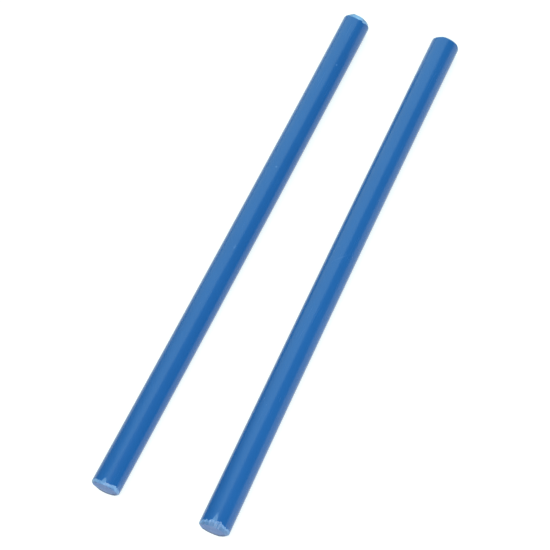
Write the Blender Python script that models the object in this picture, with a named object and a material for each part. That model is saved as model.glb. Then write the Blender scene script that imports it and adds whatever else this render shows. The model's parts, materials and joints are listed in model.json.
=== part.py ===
"""A pair of focus training sticks: two plain, solid, round bars of blue plastic, lying side by side.

Units are metres. +Z is up and +Y runs from the near ends of the sticks to their far ends. The origin is on
the surface that the sticks lie on, below the middle of the pair.
"""
from math import asin, cos, pi, radians

import bmesh
import bpy
from mathutils import Matrix

STICK_LENGTH = 0.610
STICK_DIAMETER = 0.030
RIM_CHAMFER = 0.0025     # length and depth of the 45 degree chamfer around each end
LEFT_BOW = 0.0008        # how far the middle of the left stick stands off the line through its ends
RIGHT_BOW = 0.0012       # the same for the right stick
NEAR_GAP = 0.0931        # clear space between the two sticks at their near ends
FAR_GAP = 0.0793         # clear space between them at their far ends

SIDES = 64               # flats around a stick, a multiple of four, so that it lies on one of them
BOW_CUTS = 11            # rings of edges along a stick, where the bow bends it
SMOOTH_ANGLE = radians(30)

STICK_RADIUS = STICK_DIAMETER / 2
AXIS_HEIGHT = STICK_RADIUS * cos(pi / SIDES)
NEAR_SPACING = NEAR_GAP + STICK_DIAMETER
FAR_SPACING = FAR_GAP + STICK_DIAMETER
MIDDLE_SPACING = (NEAR_SPACING + FAR_SPACING) / 2
TURN_IN = asin((NEAR_SPACING - FAR_SPACING) / 2 / STICK_LENGTH)

PLASTIC_BLUE = (0.032, 0.160, 0.460, 1.0)
PLASTIC_ROUGHNESS = 0.36


def clear_scene():
    for item in list(bpy.context.scene.objects):
        bpy.data.objects.remove(item, do_unlink=True)


def blue_plastic(name):
    material = bpy.data.materials.new(name)
    material.use_nodes = True
    shader = material.node_tree.nodes["Principled BSDF"]
    shader.inputs["Base Color"].default_value = PLASTIC_BLUE
    shader.inputs["Roughness"].default_value = PLASTIC_ROUGHNESS
    shader.inputs["Metallic"].default_value = 0.0
    return material


def chamfer_rims(bar):
    rims = [edge for edge in bar.edges if edge.verts[0].co.z == edge.verts[1].co.z]
    bmesh.ops.bevel(bar, geom=rims, offset=RIM_CHAMFER, offset_type="OFFSET", affect="EDGES",
                    segments=1, profile=0.5, material=-1)


def cut_along_length(bar):
    flats = [edge for edge in bar.edges if edge.calc_length() > STICK_LENGTH / 2]
    bmesh.ops.subdivide_edges(bar, edges=flats, cuts=BOW_CUTS)


def bend(bar, bow):
    """Bend a bar that lies along Y, so that its middle moves to +X by the bow and its ends stay put."""
    for vert in bar.verts:
        along = vert.co.y / (STICK_LENGTH / 2)
        vert.co.x += bow * (1 - along ** 2)


def stick_mesh(name, bow):
    """A stick about its own middle, lying along Y with one of its flats at the bottom."""
    bar = bmesh.new()
    bmesh.ops.create_cone(bar, cap_ends=True, segments=SIDES, radius1=STICK_RADIUS, radius2=STICK_RADIUS,
                          depth=STICK_LENGTH)
    chamfer_rims(bar)
    cut_along_length(bar)
    flat_down = Matrix.Rotation(pi / SIDES, 4, "Z")
    lay_down = Matrix.Rotation(-pi / 2, 4, "X")
    bmesh.ops.transform(bar, matrix=lay_down @ flat_down, verts=bar.verts)
    bend(bar, bow)
    mesh = bpy.data.meshes.new(name)
    bar.to_mesh(mesh)
    bar.free()
    mesh.shade_smooth()
    mesh.set_sharp_from_angle(angle=SMOOTH_ANGLE)
    return mesh


def add_stick(name, side, bow):
    """Place a stick: side is -1 on the left and +1 on the right, and its bow points to the other stick."""
    mesh = stick_mesh(name, -side * bow)
    mesh.materials.append(blue_plastic(name + "_plastic"))
    stick = bpy.data.objects.new(name, mesh)
    stick.location = (side * MIDDLE_SPACING / 2, 0, AXIS_HEIGHT)
    stick.rotation_euler = (0, 0, side * TURN_IN)
    bpy.context.scene.collection.objects.link(stick)
    return stick


clear_scene()
add_stick("left_stick", -1, LEFT_BOW)
add_stick("right_stick", +1, RIGHT_BOW)
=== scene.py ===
"""The looks of a pair of focus training sticks: two solid bars of blue plastic with hand trimmed ends.

Each stick is turned from a fine profile, then trimmed, dented and bowed, and it stands for its CAD node.
All sizes are in metres unless a comment says otherwise. A stick is first made about its own middle, with
its axis along Y, and every vertex keeps that place in the attribute "own_place", which the plastic's
patterns follow. Directions around a stick are angles, 0 towards +X and a quarter turn up.
"""
import json
from math import atan2, cos, exp, pi, radians, sin

import bmesh
import bpy
from mathutils import Matrix, Vector, noise


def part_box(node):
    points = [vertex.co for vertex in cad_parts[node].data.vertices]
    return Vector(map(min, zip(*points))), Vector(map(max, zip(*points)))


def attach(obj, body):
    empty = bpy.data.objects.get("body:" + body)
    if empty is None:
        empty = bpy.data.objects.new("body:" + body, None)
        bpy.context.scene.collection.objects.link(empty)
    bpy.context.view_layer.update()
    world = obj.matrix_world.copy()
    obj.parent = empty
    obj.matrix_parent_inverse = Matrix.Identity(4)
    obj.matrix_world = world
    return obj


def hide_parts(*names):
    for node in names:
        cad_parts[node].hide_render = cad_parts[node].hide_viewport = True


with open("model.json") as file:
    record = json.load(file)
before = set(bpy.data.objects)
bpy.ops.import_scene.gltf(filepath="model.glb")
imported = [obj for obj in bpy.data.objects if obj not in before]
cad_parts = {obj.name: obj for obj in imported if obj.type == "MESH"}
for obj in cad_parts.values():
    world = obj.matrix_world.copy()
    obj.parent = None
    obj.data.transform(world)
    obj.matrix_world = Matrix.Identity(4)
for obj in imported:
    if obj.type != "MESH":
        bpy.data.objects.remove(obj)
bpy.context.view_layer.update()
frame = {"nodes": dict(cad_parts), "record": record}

mounts = {mount["name"]: mount for mount in frame["record"]["mounts"]}
stick_radius = (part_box("left_stick")[1].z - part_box("left_stick")[0].z) / 2

# ---------------------------------------------------------------------------------- sizes

MM = 0.001
TINY = 1e-6                 # places closer together than this count as the same

AROUND = 192                # steps around a stick
END_ZONE = 15.0 * MM        # stretch at each end that has fine rings, because the trimming lies in it
END_STEP = 0.25 * MM
BODY_STEP = 5.0 * MM
MARK_STEP = 0.4 * MM
FACE_STEP = 0.55 * MM       # distance between the rings of an end face
SHARP_ANGLE = radians(38)   # corners sharper than this are shaded as edges

PLUMP = 0.2 * MM            # how much thicker than nominal the extruded bar is, in radius
BOW_GAIN = 1.15             # how many times as far as nominal it is bowed
SWELL_ZONE = 220.0 * MM     # how far back along the stick the thickening at an end reaches
SKIN_WAVES = ((0.035 * MM, 45, 11), (0.02 * MM, 130, 26))   # (height, waves per metre across, and along)

TRIM_SPREAD = 0.40          # how far a trim reaches around the stick, in radians
RIM_WAVES = ((0.6, 1.6), (0.5, 4.0))        # (height, waves around) of a rim's slow unevenness
RIM_CHATTER = ((0.45, 10.0), (0.3, 22.0))   # the same for the chatter of the knife
DEPTH_WAVES = 0.5           # how much of the slow unevenness goes into the depth of the cut
DEPTH_CHATTER = 0.35        # how much of the chatter does
EDGE_BLEND = 0.2 * MM       # how softly a cut meets the skin
SHAVE_BLEND = EDGE_BLEND / 4
SHAVE_LIMIT = 0.5           # cosine of the furthest angle at which a flat shave can cut
WHITENING_DEPTH = 0.05      # depth from which a cut is fully pale, in millimetres

BURR_ZONE = 1.5 * MM        # how far a burr reaches back along the stick
BURR_FADE = 12              # power by which a burr dies away towards the middle of the face
FACE_HOLLOW = 0.06 * MM     # how far a sawn face is from flat
FACE_WAVES = 160            # waves of that hollow per metre
HOLLOW_FADE = 6             # power by which it dies away towards the rim

MARK_REACH = 2.5            # how many times its own length a mark is followed out to
SEED_STEP = 7.31            # how far apart the noise of two ends lies
LAYER_STEP = 3.7            # how far apart two layers of it lie


# ---------------------------------------------------------------------------------- shapes

class End:
    """How one end of a stick was sawn, then trimmed by hand with a knife."""

    def __init__(self, seed, trims, reach=0.0, swell=0.0, skew=0.0, skew_towards=0.0, ragged=0.25, shaves=(),
                 burrs=()):
        self.seed = seed
        self.trims = trims                  # (direction, length, depth, paleness) of the cut around the rim
        self.reach = reach                  # how far the end stands beyond its nominal place
        self.swell = swell                  # how much thicker the bar is at this end, in radius
        self.skew = skew                    # how far the saw cut is from square, in radians
        self.skew_towards = skew_towards    # direction around the stick in which the bar is longest
        self.ragged = ragged                # how unevenly the rim was cut, as a share of the cut
        self.shaves = shaves                # (direction, length, depth, paleness) of flat slices of the knife
        self.burrs = burrs                  # (direction, width in radians, height) of plastic left standing

    def around_noise(self, angle, waves, layer):
        """Smooth noise that runs around the stick and joins up, from about -1 to 1."""
        place = Vector((cos(angle) * waves, sin(angle) * waves, self.seed * SEED_STEP + layer * LAYER_STEP))
        return noise.noise(place) * 2

    def unevenness(self, angle, waves, first_layer):
        """Several such noises together, from the (height, waves around) of each."""
        return sum(height * self.around_noise(angle, count, first_layer + index)
                   for index, (height, count) in enumerate(waves))

    def trim(self, angle):
        """Length, depth and paleness of the rim's cut in this direction, blended from the listed ones."""
        shares = [bump(angle, direction, TRIM_SPREAD) for direction, _, _, _ in self.trims]
        length, depth, pale = (
            sum(share * trim[index] for share, trim in zip(shares, self.trims)) / sum(shares)
            for index in (1, 2, 3))
        slow = self.unevenness(angle, RIM_WAVES, 0)
        chatter = self.unevenness(angle, RIM_CHATTER, len(RIM_WAVES))
        length *= 1 + self.ragged * (slow + chatter)
        depth *= 1 + self.ragged * (DEPTH_WAVES * slow + DEPTH_CHATTER * chatter)
        return length, depth, pale

    def surface(self, angle, distance, radius):
        """Radius and paleness of the trimmed bar at a distance from its end, in one direction."""
        length, depth, pale = self.trim(angle)
        trimmed = soft_least(radius - depth * (1 - distance / length), radius, EDGE_BLEND)
        for direction, length, depth, paleness in self.shaves:
            away = cos(angle - direction)
            if away > SHAVE_LIMIT and distance < length:
                flat = (radius - depth * (1 - distance / length)) / away
                if flat < trimmed:
                    pale = paleness
                trimmed = soft_least(flat, trimmed, SHAVE_BLEND)
        return trimmed, pale

    def beyond(self, angle, radius):
        """How far the saw cut lies beyond the end's nominal place."""
        return self.reach + self.skew * cos(angle - self.skew_towards) * radius

    def burr_height(self, angle):
        return sum(rise * bump(angle, direction, width) for direction, width, rise in self.burrs)

    def side_lift(self, angle, distance, radius):
        """How far a place on the bar's side moves outwards along the stick, with the cut and its burrs."""
        return (self.beyond(angle, radius) * max(0.0, 1 - distance / END_ZONE)
                + self.burr_height(angle) * max(0.0, 1 - distance / BURR_ZONE))

    def face_lift(self, angle, radius, share, place):
        """The same for a place on the end face, whose share is 0 in its middle and 1 at its rim."""
        hollow = FACE_HOLLOW * noise.noise(Vector((place.x * FACE_WAVES, place.z * FACE_WAVES, self.seed)))
        return (self.beyond(angle, radius) + hollow * (1 - share ** HOLLOW_FADE)
                + self.burr_height(angle) * share ** BURR_FADE)


class Mark:
    """A small dent or scuff in the skin of a stick."""

    def __init__(self, along, angle, length, width, depth, pale=0.5, slant=0.0):
        self.along = along      # share of the stick's length from its near end
        self.angle = angle      # direction around the stick
        self.length = length
        self.width = width
        self.depth = depth
        self.pale = pale        # how much the plastic is whitened there
        self.slant = slant      # how far it runs along the stick for each unit around it

    def zone(self):
        """How far the mark reaches along the stick on each side of its middle."""
        return MARK_REACH * (self.length + abs(self.slant) * self.width / 2)

    def strength(self, angle, distance, length):
        """From 0 away from the mark to 1 in its middle, at a distance from the near end of a stick."""
        around = turn_between(self.angle, angle) * stick_radius
        away = (distance - self.along * length - self.slant * around) / self.length
        return exp(-away ** 2 - (around / self.width) ** 2)


def turn_between(first, second):
    """The angle from one direction to another, the short way round."""
    return atan2(sin(second - first), cos(second - first))


def bump(angle, middle, width):
    """A smooth hump around a direction, 1 at its middle."""
    return exp(-(turn_between(middle, angle) / width) ** 2)


def soft_least(a, b, blend):
    """The smaller of two lengths, rounded over where they are about the same."""
    mix = max(0.0, min(1.0, 0.5 + 0.5 * (b - a) / blend))
    return b + (a - b) * mix - blend * mix * (1 - mix)


def steps_along(length, marks):
    """Distances along a stick from its near end, close together at the ends and at the marks.

    They are rounded to a micrometre, so that no two of them are almost the same.
    """
    fine = [(0.0, END_ZONE, END_STEP), (length - END_ZONE, length, END_STEP)]
    for mark in marks:
        middle = mark.along * length
        fine.append((middle - mark.zone(), middle + mark.zone(), MARK_STEP))
    found = set()
    for low, high, step in fine:
        for index in range(round((high - low) / step) + 1):
            found.add(round(low + index * step, 6))
    place = END_ZONE + BODY_STEP
    while place < length - END_ZONE - BODY_STEP / 2:
        if not any(low - MM < place < high + MM for low, high, _ in fine):
            found.add(round(place, 6))
        place += BODY_STEP
    return sorted(found)


def turned_bar(length, marks):
    """A full bar of revolution about Y as a bmesh, with fine rings where they are needed."""
    bar = bmesh.new()
    face_rings = round(stick_radius / FACE_STEP)
    face_radii = [stick_radius * (index + 1) / face_rings for index in range(face_rings)]
    side_steps = steps_along(length, marks)[1:-1]
    profile = [(0, -length / 2)]
    profile += [(radius, -length / 2) for radius in face_radii]
    profile += [(stick_radius, distance - length / 2) for distance in side_steps]
    profile += [(radius, length / 2) for radius in reversed(face_radii)]
    profile.append((0, length / 2))
    line = [bar.verts.new((radius, along, 0)) for radius, along in profile]
    edges = [bar.edges.new(pair) for pair in zip(line, line[1:])]
    bmesh.ops.spin(bar, geom=line + edges, cent=(0, 0, 0), axis=(0, 1, 0), dvec=(0, 0, 0),
                   angle=2 * pi, steps=AROUND, use_merge=True)
    bmesh.ops.remove_doubles(bar, verts=bar.verts, dist=TINY)
    bmesh.ops.recalc_face_normals(bar, faces=bar.faces)
    return bar


def swell_at(distance, length, near_end, far_end):
    """How much thicker than nominal the bar is at a distance from its near end, in radius."""
    near_swell = near_end.swell * max(0.0, 1 - distance / SWELL_ZONE) ** 2
    far_swell = far_end.swell * max(0.0, 1 - (length - distance) / SWELL_ZONE) ** 2
    return PLUMP + near_swell + far_swell


def skin_height(place, length, near_end, far_end, marks):
    """Radius of the untrimmed skin at a place, with its swell at the ends, slight waves and marks."""
    distance = place.y + length / 2
    angle = atan2(place.z, place.x)
    radius = stick_radius + swell_at(distance, length, near_end, far_end)
    for height, across, along in SKIN_WAVES:
        radius += height * noise.noise(Vector((place.x * across, place.y * along, place.z * across)))
    for mark in marks:
        radius -= mark.depth * mark.strength(angle, distance, length)
    return radius


def trim_and_bow(bar, length, bow, near_end, far_end, marks):
    """Give a turned bar its cut ends, marks and bow, and the attributes that its plastic follows."""
    cut_depth = bar.verts.layers.float.new("cut_depth")     # in millimetres
    whitened = bar.verts.layers.float.new("whitened")
    end_face = bar.verts.layers.float.new("end_face")
    own_place = bar.verts.layers.float_vector.new("own_place")
    for vert in bar.verts:
        end, side = (far_end, 1) if vert.co.y > 0 else (near_end, -1)
        distance = length / 2 - side * vert.co.y
        angle = atan2(vert.co.z, vert.co.x)
        on_face = distance < TINY
        share = Vector((vert.co.x, vert.co.z)).length / stick_radius if on_face else 1.0

        rim_place = Vector((cos(angle) * stick_radius, vert.co.y, sin(angle) * stick_radius))
        skin = skin_height(rim_place, length, near_end, far_end, marks)
        radius, pale = end.surface(angle, distance, skin) if distance < END_ZONE else (skin, 0.0)
        vert[cut_depth] = (skin - radius) / MM
        vert[end_face] = 1.0 if on_face else 0.0
        vert[whitened] = pale * min(1.0, vert[cut_depth] / WHITENING_DEPTH) + sum(
            mark.pale * mark.strength(angle, vert.co.y + length / 2, length) for mark in marks)

        radius *= share
        if on_face:
            lift = end.face_lift(angle, radius, share, vert.co)
        else:
            lift = end.side_lift(angle, distance, radius)
        vert.co = Vector((cos(angle) * radius, vert.co.y + side * lift, sin(angle) * radius))
        vert[own_place] = vert.co
        vert.co.x += bow * BOW_GAIN * (1 - (2 * vert.co.y / length) ** 2)
        vert.co.z += swell_at(vert.co.y + length / 2, length, near_end, far_end)


def bow_of(node, world_to_own):
    """How far the middle of the CAD stick stands off the line through its ends."""
    places = [world_to_own @ vert.co for vert in frame["nodes"][node].data.vertices]
    middle = [place.x for place in places if abs(place.y) < MM]
    return sum(middle) / len(middle)


def make_stick(node, near_end, far_end, marks, finish):
    """Build the stick that stands for a CAD node, in the node's place, and let it ride on its body."""
    near = Vector(mounts[node + "_near_face"]["pos_m"])
    far = Vector(mounts[node + "_far_face"]["pos_m"])
    length = (far - near).length
    along = (far - near).normalized()
    across = along.cross(Vector((0, 0, 1))).normalized()
    turn = Matrix((across, along, across.cross(along))).transposed().to_4x4()
    own_to_world = Matrix.Translation((near + far) / 2) @ turn

    bar = turned_bar(length, marks)
    trim_and_bow(bar, length, bow_of(node, own_to_world.inverted()), near_end, far_end, marks)
    bmesh.ops.transform(bar, matrix=own_to_world, verts=bar.verts)

    mesh = bpy.data.meshes.new(node + "_turned")
    bar.to_mesh(mesh)
    bar.free()
    mesh.shade_smooth()
    mesh.set_sharp_from_angle(angle=SHARP_ANGLE)
    mesh.materials.append(finish)
    stick = bpy.data.objects.new(node + "_turned", mesh)
    bpy.context.scene.collection.objects.link(stick)
    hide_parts(node)
    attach(stick, node)


# ---------------------------------------------------------------------------------- finishes

class Value:
    """A number socket that can be used in sums: each operator adds its own Math node."""

    def __init__(self, finish, socket):
        self.finish = finish
        self.socket = socket

    def math(self, operation, *others):
        return self.finish.add("ShaderNodeMath", {"operation": operation}, dict(enumerate((self, *others))))

    def __add__(self, other):
        return self.math("ADD", other)

    __radd__ = __add__

    def __sub__(self, other):
        return self.math("SUBTRACT", other)

    def __rsub__(self, other):
        return self.finish.add("ShaderNodeMath", {"operation": "SUBTRACT"}, {0: other, 1: self})

    def __neg__(self):
        return 0 - self

    def __mul__(self, other):
        return self.math("MULTIPLY", other)

    __rmul__ = __mul__

    def __pow__(self, other):
        return self.math("POWER", other)

    def rise(self, low, high):
        """0 below low, 1 above high, and a smooth step between them."""
        return self.finish.add("ShaderNodeMapRange", {"interpolation_type": "SMOOTHSTEP"},
                               {"Value": self, "From Min": low, "From Max": high})

    def siblings(self):
        """All the outputs of the node that this one belongs to."""
        return [Value(self.finish, socket) for socket in self.socket.node.outputs]


class Finish:
    """A material's nodes. Every node of it comes from add."""

    def __init__(self, name):
        self.material = bpy.data.materials.new(name)
        self.material.use_nodes = True
        self.tree = self.material.node_tree
        self.tree.nodes.clear()

    def add(self, kind, settings=None, sockets=None, output=0):
        """Add a node, apply its settings, set or link its sockets, and give one of its outputs."""
        node = self.tree.nodes.new(kind)
        for name, setting in (settings or {}).items():
            setattr(node, name, setting)
        for name, value in (sockets or {}).items():
            if isinstance(value, Value):
                self.tree.links.new(value.socket, node.inputs[name])
            else:
                node.inputs[name].default_value = value
        return Value(self, node.outputs[output]) if node.outputs else None

    def vector_attribute(self, name):
        return self.add("ShaderNodeAttribute", {"attribute_name": name}, output=1)

    def number_attribute(self, name):
        return self.add("ShaderNodeAttribute", {"attribute_name": name}, output=2)

    def stretched(self, place, along):
        """A place whose distance along the stick counts for less, so that patterns run along it."""
        return self.add("ShaderNodeVectorMath", {"operation": "MULTIPLY"}, {0: place, 1: (1, along, 1)})

    def moved(self, place, by):
        return self.add("ShaderNodeVectorMath", {"operation": "ADD"}, {0: place, 1: by})

    def noise(self, place, scale, detail=2.0, roughness=0.5):
        """Noise about 0, from about -0.5 to 0.5."""
        found = self.add("ShaderNodeTexNoise", None,
                         {"Vector": place, "Scale": scale, "Detail": detail, "Roughness": roughness})
        return found - 0.5

    def waves(self, distance, spacing):
        """Rings about 0, from -1 to 1, a spacing apart."""
        return (distance * (2 * pi / spacing)).math("SINE")

    def mix(self, share, a, b):
        """One colour turning into another as the share goes from 0 to 1."""
        return self.add("ShaderNodeMix", {"data_type": "RGBA"}, {0: share, 6: a, 7: b}, output=2)

    def surface(self, **sockets):
        """Finish the material with a shader, whose sockets are given with _ for each space."""
        named = {name.replace("_", " "): value for name, value in sockets.items()}
        shader = self.add("ShaderNodeBsdfPrincipled", None, named)
        self.add("ShaderNodeOutputMaterial", None, {"Surface": shader})
        return self.material


DEEP_BLUE = (0.008, 0.105, 0.350, 1)
SKIN_BLUE = (0.011, 0.121, 0.388, 1)
SCUFF_BLUE = (0.10, 0.27, 0.60, 1)
FACE_BLUE = (0.122, 0.234, 0.505, 1)
FACE_SHADE = (0.072, 0.160, 0.410, 1)
WHITENED_BLUE = (0.30, 0.55, 0.86, 1)
TORN_SHADE = (0.12, 0.27, 0.55, 1)
SAWN_BLUE = (0.100, 0.240, 0.440, 1)
# painted shade: the dark blue laid on the lower rim of each end face, standing in for shade near the floor
PAINTED_SHADE_BLUE = (0.030, 0.075, 0.190, 1)
FLOOR_GREY = (0.44, 0.44, 0.44, 1)
FLOOR_PALE = (0.47, 0.47, 0.47, 1)
FLOOR_GLOW = (0.63, 0.68, 0.65, 1)

SEED_MOVE = (0.37, 1.13, 0.71)              # how far a seed of 1 moves the patterns
DIE_LINE_SCALE, DIE_LINE_STRETCH = 1100, 0.03
SCRATCH_SCALE, SCRATCH_STRETCH = 900, 0.16
SCRATCH_CREST = (0.19, 0.25)                # noise between these becomes a scratch
SCUFFED_SCALE = 16
SCUFFED_CREST = (0.08, 0.2)                 # noise between these becomes a patch that shows its scratches
GRAIN_SCALE = 2600
CLOUD_SCALE = 22
SPECK_SCALE = 75.0
SPECK_RIM = (0.02, 0.045)                   # distance over which a speck fades out, in its own cells
SPECK_PICK = (0.86, 0.88)                   # only the cells whose random number is above this have one
RAGGED_SCALE = 700
BLOTCH_SCALE = 240
WOBBLE_SCALE, WOBBLE = 260, 0.25 * MM       # how the rings of the saw wander
RING_SPACING = 1.15 * MM
FINE_RING_SPACING = 0.27 * MM

ON_FACE = (0.4, 0.6)                        # where between side and end face the finish changes
CUT_DEPTHS = (0.03, 0.1)                    # depths between which skin becomes cut plastic, in millimetres
SAWN_DEPTHS = (0.8, 1.4)                    # depths between which it looks sawn, not torn
TORN_PALE = (0.85, 0.95)                    # paleness between which even a deep cut looks torn
BRIGHT_PALE = (0.85, 1.0)                   # paleness between which torn plastic gets its brightest
PAINTED_SHADE_RADII = (7.5 * MM, 12.5 * MM)         # distances from the middle of a face over which the painted shade of its lower rim sets in
PAINTED_SHADE_DROPS = (0, 8.0 * MM)                 # and drops below the middle over which it does
SAWN_SHARE = 0.6                            # share of its own blue in a sawn cut, the rest being the face's
MICROMETRE = 0.001                          # of the bump's own unit, a millimetre


def plastic(name, seed):
    """Blue extruded plastic: satin skin with die lines, whitened where it was cut, ringed on its faces."""
    finish = Finish(name)
    own = finish.vector_attribute("own_place")
    place = finish.moved(own, [seed * step for step in SEED_MOVE])
    whitened = finish.number_attribute("whitened")
    face = finish.number_attribute("end_face").rise(*ON_FACE)
    cut_depth = finish.number_attribute("cut_depth")
    cut = cut_depth.rise(*CUT_DEPTHS)

    die_lines = finish.noise(finish.stretched(place, DIE_LINE_STRETCH), DIE_LINE_SCALE, 3.0, 0.6)
    cloudy = finish.noise(place, CLOUD_SCALE, 4.0, 0.55)
    skin_grain = finish.noise(place, GRAIN_SCALE, 2.0)

    scratch_place = finish.stretched(place, SCRATCH_STRETCH)
    scratches = finish.noise(scratch_place, SCRATCH_SCALE, 1.0).rise(*SCRATCH_CREST)
    where_scuffed = finish.noise(place, SCUFFED_SCALE, 2.0).rise(*SCUFFED_CREST)
    scuffs = scratches * where_scuffed

    cells = finish.add("ShaderNodeTexVoronoi", None, {"Vector": place, "Scale": SPECK_SCALE})
    from_speck, speck_pick = cells.siblings()[:2]
    picked = finish.add("ShaderNodeSeparateColor", None, {"Color": speck_pick}).rise(*SPECK_PICK)
    specks = (1 - from_speck.rise(*SPECK_RIM)) * picked

    across, _, up = finish.add("ShaderNodeSeparateXYZ", None, {"Vector": own}).siblings()
    radius = (across * across + up * up) ** 0.5
    wobble = finish.noise(place, WOBBLE_SCALE, 2.0) * WOBBLE
    rings = finish.waves(radius + wobble, RING_SPACING)
    fine_rings = finish.waves(radius, FINE_RING_SPACING)
    # painted shade: darker towards the lower rim of each end face, where shade falls near the floor
    painted_shade = radius.rise(*PAINTED_SHADE_RADII) * (-up).rise(*PAINTED_SHADE_DROPS)
    ragged = finish.noise(place, RAGGED_SCALE, 3.0, 0.6)
    blotches = finish.noise(place, BLOTCH_SCALE, 2.0)

    skin = finish.mix(cloudy * 1.1 + die_lines * 0.5 + 0.5, DEEP_BLUE, SKIN_BLUE)
    skin = finish.mix(scuffs * 0.5 + specks * 0.9, skin, SCUFF_BLUE)
    rubbed = finish.mix(whitened * (1 - cut), skin, SCUFF_BLUE)

    face_tone = finish.mix(rings * 0.3 + fine_rings * 0.08 + ragged * 0.6 + blotches * 0.5 + 0.55,
                           FACE_SHADE, FACE_BLUE)
    # the end face turns darker towards its lower rim with painted shade
    face_tone = finish.mix(painted_shade, face_tone, PAINTED_SHADE_BLUE)

    torn = finish.mix(ragged * 1.6 + blotches * 0.9 + 0.55 + whitened.rise(*BRIGHT_PALE) * 0.25,
                      TORN_SHADE, WHITENED_BLUE)
    sawn = cut_depth.rise(*SAWN_DEPTHS) * (1 - whitened.rise(*TORN_PALE))
    knifed = finish.mix(whitened, skin, torn)
    knifed = finish.mix(sawn, knifed, finish.mix(SAWN_SHARE, face_tone, SAWN_BLUE))
    colour = finish.mix(face, finish.mix(cut, rubbed, knifed), face_tone)

    roughness = (0.25 + die_lines * 0.10 + cloudy * 0.06 + scuffs * 0.2 + specks * 0.2
                 + cut * whitened * (0.2 + ragged * 0.2) + face * 0.2)

    skin_relief = (die_lines * 5.0 + skin_grain * 1.2 - scuffs * 5.0 - specks * 30.0) * (1 - cut)
    face_relief = (rings * 7.0 + fine_rings * 3.0) * face
    cut_relief = ragged * 45.0 * cut * (1 - face) + ragged * 14.0 * face
    relief = (skin_relief + face_relief + cut_relief) * MICROMETRE
    normal = finish.add("ShaderNodeBump", None, {"Strength": 1.0, "Distance": 1.0 * MM, "Height": relief})
    return finish.surface(Base_Color=colour, Roughness=roughness, Metallic=0.0, IOR=1.49, Normal=normal)


def pale_floor():
    """A matt white light table with the slightest grain."""
    finish = Finish("pale_floor")
    place = finish.add("ShaderNodeTexCoord").siblings()[3]
    colour = finish.mix(finish.noise(place, 3.0, 3.0) + 0.5, FLOOR_GREY, FLOOR_PALE)
    return finish.surface(Base_Color=colour, Roughness=0.9, Emission_Color=FLOOR_GLOW, Emission_Strength=1.0)


# ---------------------------------------------------------------------------------- sticks

RIGHT, RIGHT_SIDE, UP_RIGHT, UP, UP_LEFT, LEFT_SIDE, LEFT, LOW_LEFT, DOWN, LOW_RIGHT = (
    radians(turn) for turn in (-25, 5, 35, 65, 95, 125, 155, 200, 245, 290))

make_stick(
    "left_stick",
    near_end=End(
        seed=1, reach=0.75 * MM, skew=radians(1.2), skew_towards=LEFT, ragged=0.22,
        trims=[(RIGHT, 1.6 * MM, 2.3 * MM, 0.4), (RIGHT_SIDE, 4.0 * MM, 0.6 * MM, 0.7),
               (UP_RIGHT, 4.0 * MM, 1.7 * MM, 0.85), (UP, 3.6 * MM, 1.7 * MM, 0.65),
               (UP_LEFT, 3.3 * MM, 1.2 * MM, 0.72), (LEFT_SIDE, 3.3 * MM, 1.3 * MM, 0.85),
               (LEFT, 1.8 * MM, 2.2 * MM, 0.75), (LOW_LEFT, 1.5 * MM, 3.2 * MM, 0.3),
               (DOWN, 1.0 * MM, 0.9 * MM, 0.2), (LOW_RIGHT, 1.2 * MM, 2.0 * MM, 0.3)],
        shaves=[(radians(81), 8.0 * MM, 0.36 * MM, 0.45), (radians(14), 9.5 * MM, 0.25 * MM, 0.22)]),
    far_end=End(
        seed=2, reach=0.1 * MM, swell=0.3 * MM, skew=radians(1.5), skew_towards=RIGHT, ragged=0.2,
        trims=[(RIGHT, 2.2 * MM, 1.7 * MM, 0.2), (RIGHT_SIDE, 2.8 * MM, 1.8 * MM, 0.35),
               (UP_RIGHT, 4.4 * MM, 1.8 * MM, 0.85), (UP, 4.8 * MM, 1.2 * MM, 1.0),
               (UP_LEFT, 3.6 * MM, 1.0 * MM, 0.85), (LEFT_SIDE, 2.0 * MM, 1.9 * MM, 0.15),
               (LEFT, 2.2 * MM, 1.8 * MM, 0.1), (DOWN, 2.2 * MM, 2.0 * MM, 0.4)],
        burrs=[(radians(94), 0.15, 0.7 * MM)]),
    marks=[Mark(0.885, radians(56), 0.9 * MM, 0.8 * MM, 0.12 * MM, 0.6),
           Mark(0.6455, radians(77), 0.9 * MM, 0.9 * MM, 0.10 * MM, 0.6),
           Mark(0.4717, radians(71), 2.4 * MM, 0.7 * MM, 0.05 * MM, 0.35)],
    finish=plastic("left_stick_plastic", 1.0))
make_stick(
    "right_stick",
    near_end=End(
        seed=3, reach=-0.1 * MM, swell=0.5 * MM, skew=radians(2.4), skew_towards=LEFT, ragged=0.24,
        trims=[(RIGHT, 2.4 * MM, 2.9 * MM, 0.5), (RIGHT_SIDE, 4.2 * MM, 2.6 * MM, 0.65),
               (UP_RIGHT, 4.6 * MM, 2.6 * MM, 0.7), (UP, 5.7 * MM, 2.8 * MM, 0.5),
               (UP_LEFT, 5.6 * MM, 2.6 * MM, 0.5), (LEFT_SIDE, 4.0 * MM, 2.3 * MM, 0.8),
               (LEFT, 2.2 * MM, 2.2 * MM, 0.7), (DOWN, 1.6 * MM, 1.5 * MM, 0.2)],
        shaves=[(radians(80), 15.0 * MM, 0.38 * MM, 0.35)]),
    far_end=End(
        seed=4, reach=-0.3 * MM, swell=0.35 * MM, skew=radians(2.8), skew_towards=RIGHT, ragged=0.2,
        trims=[(RIGHT, 2.0 * MM, 1.5 * MM, 0.35), (UP, 2.2 * MM, 2.0 * MM, 0.25),
               (LEFT_SIDE, 2.4 * MM, 2.3 * MM, 0.1), (LEFT, 2.4 * MM, 1.6 * MM, 0.1),
               (DOWN, 2.2 * MM, 2.0 * MM, 0.4)]),
    marks=[Mark(0.513, radians(72), 1.0 * MM, 5.0 * MM, 0.03 * MM, 0.18, slant=-1.1)],
    finish=plastic("right_stick_plastic", 2.0))


# ---------------------------------------------------------------------------------- studio

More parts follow.
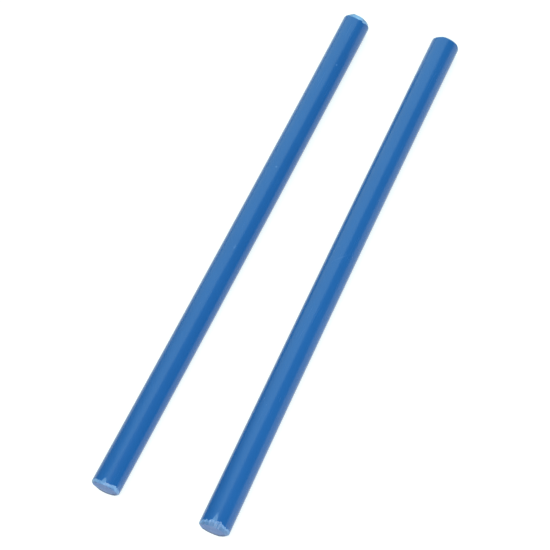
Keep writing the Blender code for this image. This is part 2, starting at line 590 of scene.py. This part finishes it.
def add_floor(radius):
    plane = bmesh.new()
    bmesh.ops.create_circle(plane, cap_ends=True, segments=96, radius=radius)
    mesh = bpy.data.meshes.new("floor")
    plane.to_mesh(mesh)
    plane.free()
    mesh.materials.append(pale_floor())
    floor = bpy.data.objects.new("floor", mesh)
    bpy.context.scene.collection.objects.link(floor)


def aimed(place, aim):
    """The turn of a lamp or camera at a place that looks at another."""
    return (Vector(aim) - Vector(place)).to_track_quat("-Z", "Y").to_matrix().to_4x4()


def add_softbox(name, place, aim, width, length, brightness, tint=(1, 1, 1), turn=0.0):
    """A soft lamp of even brightness: brightness is what a white card would read if it filled the view."""
    lamp = bpy.data.lights.new(name, "AREA")
    lamp.shape = "RECTANGLE"
    lamp.size = width
    lamp.size_y = length
    lamp.energy = brightness * pi * width * length
    lamp.color = tint
    box = bpy.data.objects.new(name, lamp)
    box.location = place
    box.rotation_euler = (aimed(place, aim) @ Matrix.Rotation(turn, 4, "Z")).to_euler()
    bpy.context.scene.collection.objects.link(box)


def add_camera(place, aim, roll, lens):
    camera = bpy.data.cameras.new("camera")
    camera.sensor_width = 36
    camera.lens = lens
    holder = bpy.data.objects.new("camera", camera)
    holder.matrix_world = Matrix.Translation(place) @ aimed(place, aim) @ Matrix.Rotation(roll, 4, "Z")
    bpy.context.scene.collection.objects.link(holder)
    bpy.context.scene.camera = holder


def set_surroundings(grey):
    world = bpy.data.worlds.new("studio")
    world.use_nodes = True
    background = world.node_tree.nodes["Background"]
    background.inputs["Color"].default_value = (grey, grey, grey, 1)
    background.inputs["Strength"].default_value = 1.0
    bpy.context.scene.world = world


COOL = (0.98, 1.48, 1.36)

add_floor(radius=9.0)
add_softbox("overhead_panel", place=(-3.677, 3.545, 1.6), aim=(-3.677, 3.545, 0), width=10.0, length=4.4,
            brightness=0.95, tint=COOL, turn=radians(-19.0))
add_softbox("key_softbox", place=(0.80, -1.00, 1.9), aim=(0, 0, 0), width=1.5, length=1.5, brightness=6.0)
set_surroundings(grey=0.18)
add_camera(place=(0.5931, -0.6535, 1.3919), aim=(-0.0093, -0.0205, 0.0), roll=radians(-21.3), lens=101.7)
bpy.context.scene.view_settings.view_transform = "Standard"
